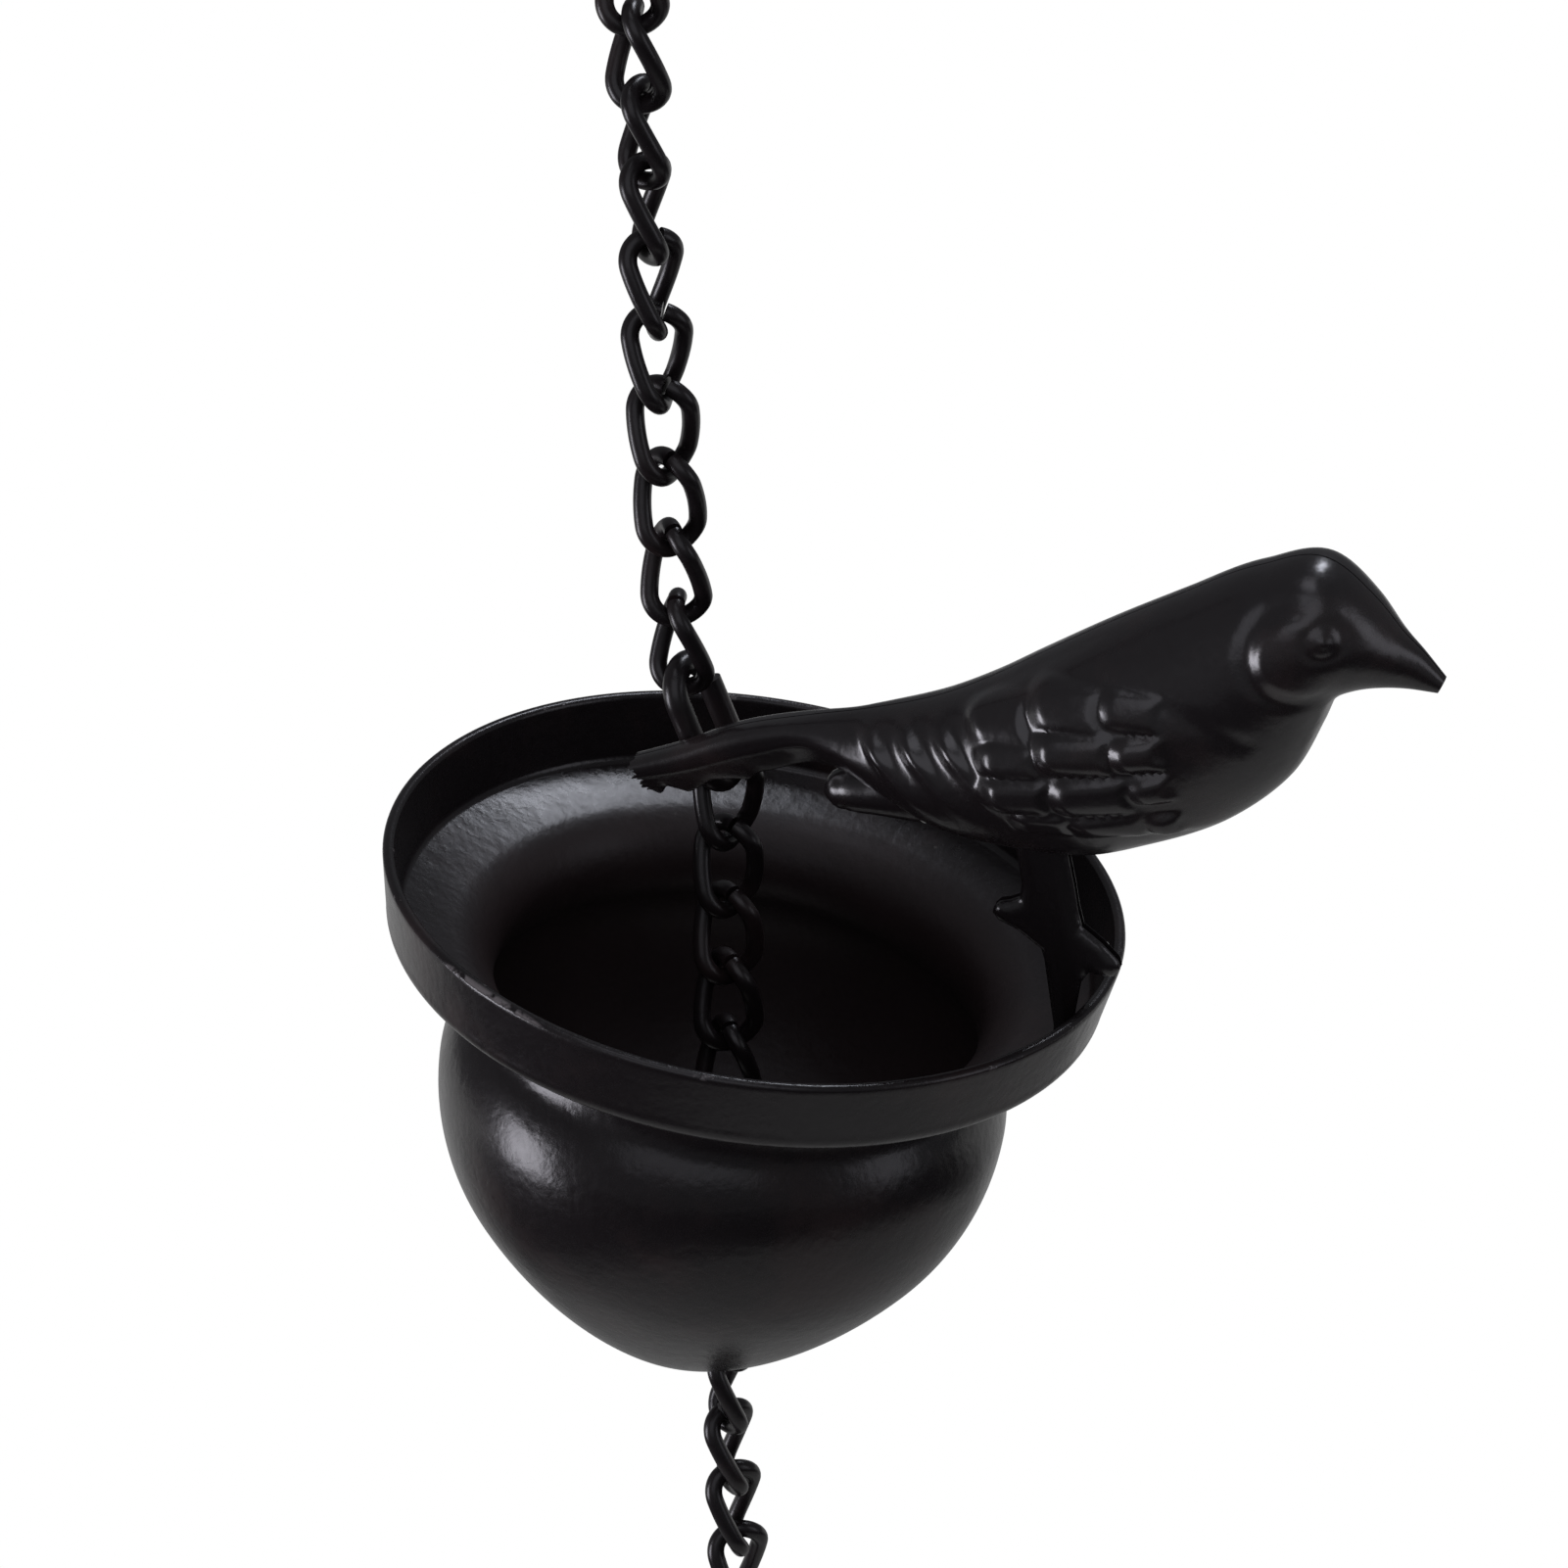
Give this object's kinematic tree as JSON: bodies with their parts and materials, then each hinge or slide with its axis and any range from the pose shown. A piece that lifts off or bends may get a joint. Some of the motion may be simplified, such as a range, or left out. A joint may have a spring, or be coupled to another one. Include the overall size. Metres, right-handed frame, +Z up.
{
  "type": "rain chain",
  "caption": "Rain chain of twisted wire links with a spun cup on it; a stamped bird perches on the lip, and the chain goes on through the drain hole.",
  "frame": {"origin": "top of the eye of the first link, where the chain hangs", "axes": "+Z up along the hanging chain, +X the way the bird faces, +Y to the bird's left"},
  "size_m": [0.1299, 0.0908, 0.2282],
  "materials": {
    "link_paint": "dark brown semi-gloss paint",
    "hook_paint": "dark brown semi-gloss paint",
    "cup_paint": "dark brown semi-gloss paint, worn on the lip",
    "bird_paint": "dark brown semi-gloss paint"
  },
  "bodies": {
    "link_01": {"chain_link_01": "link_paint"},
    "link_02": {"chain_link_02": "link_paint"},
    "link_03": {"chain_link_03": "link_paint"},
    "link_04": {"chain_link_04": "link_paint"},
    "link_05": {"chain_link_05": "link_paint"},
    "link_06": {"chain_link_06": "link_paint"},
    "link_07": {"chain_link_07": "link_paint"},
    "link_08": {"chain_link_08": "link_paint"},
    "link_09": {"chain_link_09": "link_paint"},
    "link_10": {"chain_link_10": "link_paint"},
    "cup_unit": {"tail_hook": "hook_paint", "cup": "cup_paint", "bird_right_half": "bird_paint", "bird_left_half": "bird_paint"},
    "link_11": {"chain_link_11": "link_paint"},
    "link_12": {"chain_link_12": "link_paint"},
    "link_13": {"chain_link_13": "link_paint"},
    "link_14": {"chain_link_14": "link_paint"},
    "link_15": {"chain_link_15": "link_paint"},
    "link_16": {"chain_link_16": "link_paint"},
    "link_17": {"chain_link_17": "link_paint"},
    "link_18": {"chain_link_18": "link_paint"},
    "link_19": {"chain_link_19": "link_paint"},
    "link_20": {"chain_link_20": "link_paint"},
    "link_21": {"chain_link_21": "link_paint"},
    "link_22": {"chain_link_22": "link_paint"},
    "link_23": {"chain_link_23": "link_paint"}
  },
  "joints": [
    {"name": "swing_link_02", "type": "hinge", "parent": "link_01", "child": "link_02", "pos_m": [0, 0, -0.0106], "axis": [-0.8829, -0.4695, 0], "range_deg": [-40, 40]},
    {"name": "swing_link_03", "type": "hinge", "parent": "link_02", "child": "link_03", "pos_m": [0, 0, -0.0174], "axis": [0.2756, 0.9613, 0], "range_deg": [-40, 40]},
    {"name": "swing_link_04", "type": "hinge", "parent": "link_03", "child": "link_04", "pos_m": [0, 0, -0.0291], "axis": [0.9613, -0.2756, 0], "range_deg": [-40, 40]},
    {"name": "swing_link_05", "type": "hinge", "parent": "link_04", "child": "link_05", "pos_m": [0, 0, -0.0359], "axis": [-0.866, -0.5, 0], "range_deg": [-40, 40]},
    {"name": "swing_link_06", "type": "hinge", "parent": "link_05", "child": "link_06", "pos_m": [0, 0, -0.0476], "axis": [-0.5, 0.866, 0], "range_deg": [-40, 40]},
    {"name": "swing_link_07", "type": "hinge", "parent": "link_06", "child": "link_07", "pos_m": [0, 0, -0.0544], "axis": [0.9703, -0.2419, 0], "range_deg": [-40, 40]},
    {"name": "swing_link_08", "type": "hinge", "parent": "link_07", "child": "link_08", "pos_m": [0, 0, -0.0661], "axis": [-0.2419, -0.9703, 0], "range_deg": [-40, 40]},
    {"name": "swing_link_09", "type": "hinge", "parent": "link_08", "child": "link_09", "pos_m": [0, 0, -0.0729], "axis": [-0.5299, 0.848, 0], "range_deg": [-40, 40]},
    {"name": "swing_link_10", "type": "hinge", "parent": "link_09", "child": "link_10", "pos_m": [0, 0, -0.0846], "axis": [0.848, 0.5299, 0], "range_deg": [-40, 40]},
    {"name": "swing_cup_unit", "type": "hinge", "parent": "link_10", "child": "cup_unit", "pos_m": [0.00007, 0, -0.0909], "axis": [0.1972, 0.9781, 0.066], "range_deg": [-40, 40]},
    {"name": "swing_link_11", "type": "hinge", "parent": "cup_unit", "child": "link_11", "pos_m": [0.0049, 0, -0.10531], "axis": [-0.1972, -0.9781, -0.066], "range_deg": [-3, 0]},
    {"name": "swing_link_12", "type": "hinge", "parent": "link_11", "child": "link_12", "pos_m": [0.00454, -0.0002, -0.1116], "axis": [-0.9124, 0.4074, 0.0396], "range_deg": [-0.5, 2]},
    {"name": "swing_link_13", "type": "hinge", "parent": "link_12", "child": "link_13", "pos_m": [0.00386, -0.00056, -0.12327], "axis": [0.4052, 0.9127, -0.052], "range_deg": [0, 3.5]},
    {"name": "swing_link_14", "type": "hinge", "parent": "link_13", "child": "link_14", "pos_m": [0.00347, -0.00078, -0.13006], "axis": [0.6687, -0.7434, -0.015], "range_deg": [-3, 0.3]},
    {"name": "swing_link_15", "type": "hinge", "parent": "link_14", "child": "link_15", "pos_m": [0.00281, -0.00115, -0.14173], "axis": [-0.7413, -0.6681, 0.0636], "range_deg": [-2.5, 0.3]},
    {"name": "swing_link_16", "type": "hinge", "parent": "link_15", "child": "link_16", "pos_m": [0.00242, -0.00136, -0.14852], "axis": [-0.3094, 0.9509, -0.0121], "range_deg": [-0.3, 6]},
    {"name": "swing_link_17", "type": "hinge", "parent": "link_16", "child": "link_17", "pos_m": [0.00174, -0.00173, -0.16019], "axis": [0.9492, 0.308, -0.0642], "range_deg": [-1.5, 5]},
    {"name": "swing_link_18", "type": "hinge", "parent": "link_17", "child": "link_18", "pos_m": [0.00135, -0.00194, -0.16698], "axis": [-0.1035, -0.9939, 0.0372], "range_deg": [-8, 1]},
    {"name": "swing_link_19", "type": "hinge", "parent": "link_18", "child": "link_19", "pos_m": [0.00068, -0.00231, -0.17866], "axis": [-0.993, 0.1054, 0.0537], "range_deg": [-15, 20]},
    {"name": "swing_link_20", "type": "hinge", "parent": "link_19", "child": "link_20", "pos_m": [0.00029, -0.00252, -0.18544], "axis": [0.4984, 0.8651, -0.0559], "range_deg": [-40, 40]},
    {"name": "swing_link_21", "type": "hinge", "parent": "link_20", "child": "link_21", "pos_m": [-0.00038, -0.00289, -0.19712], "axis": [0.8651, -0.5005, -0.034], "range_deg": [-40, 40]},
    {"name": "swing_link_22", "type": "hinge", "parent": "link_21", "child": "link_22", "pos_m": [-0.00031, -0.00285, -0.20392], "axis": [-0.809, -0.5878, 0], "range_deg": [-40, 40]},
    {"name": "swing_link_23", "type": "hinge", "parent": "link_22", "child": "link_23", "pos_m": [-0.00031, -0.00285, -0.21562], "axis": [-0.5878, 0.809, 0], "range_deg": [-40, 40]}
  ]
}
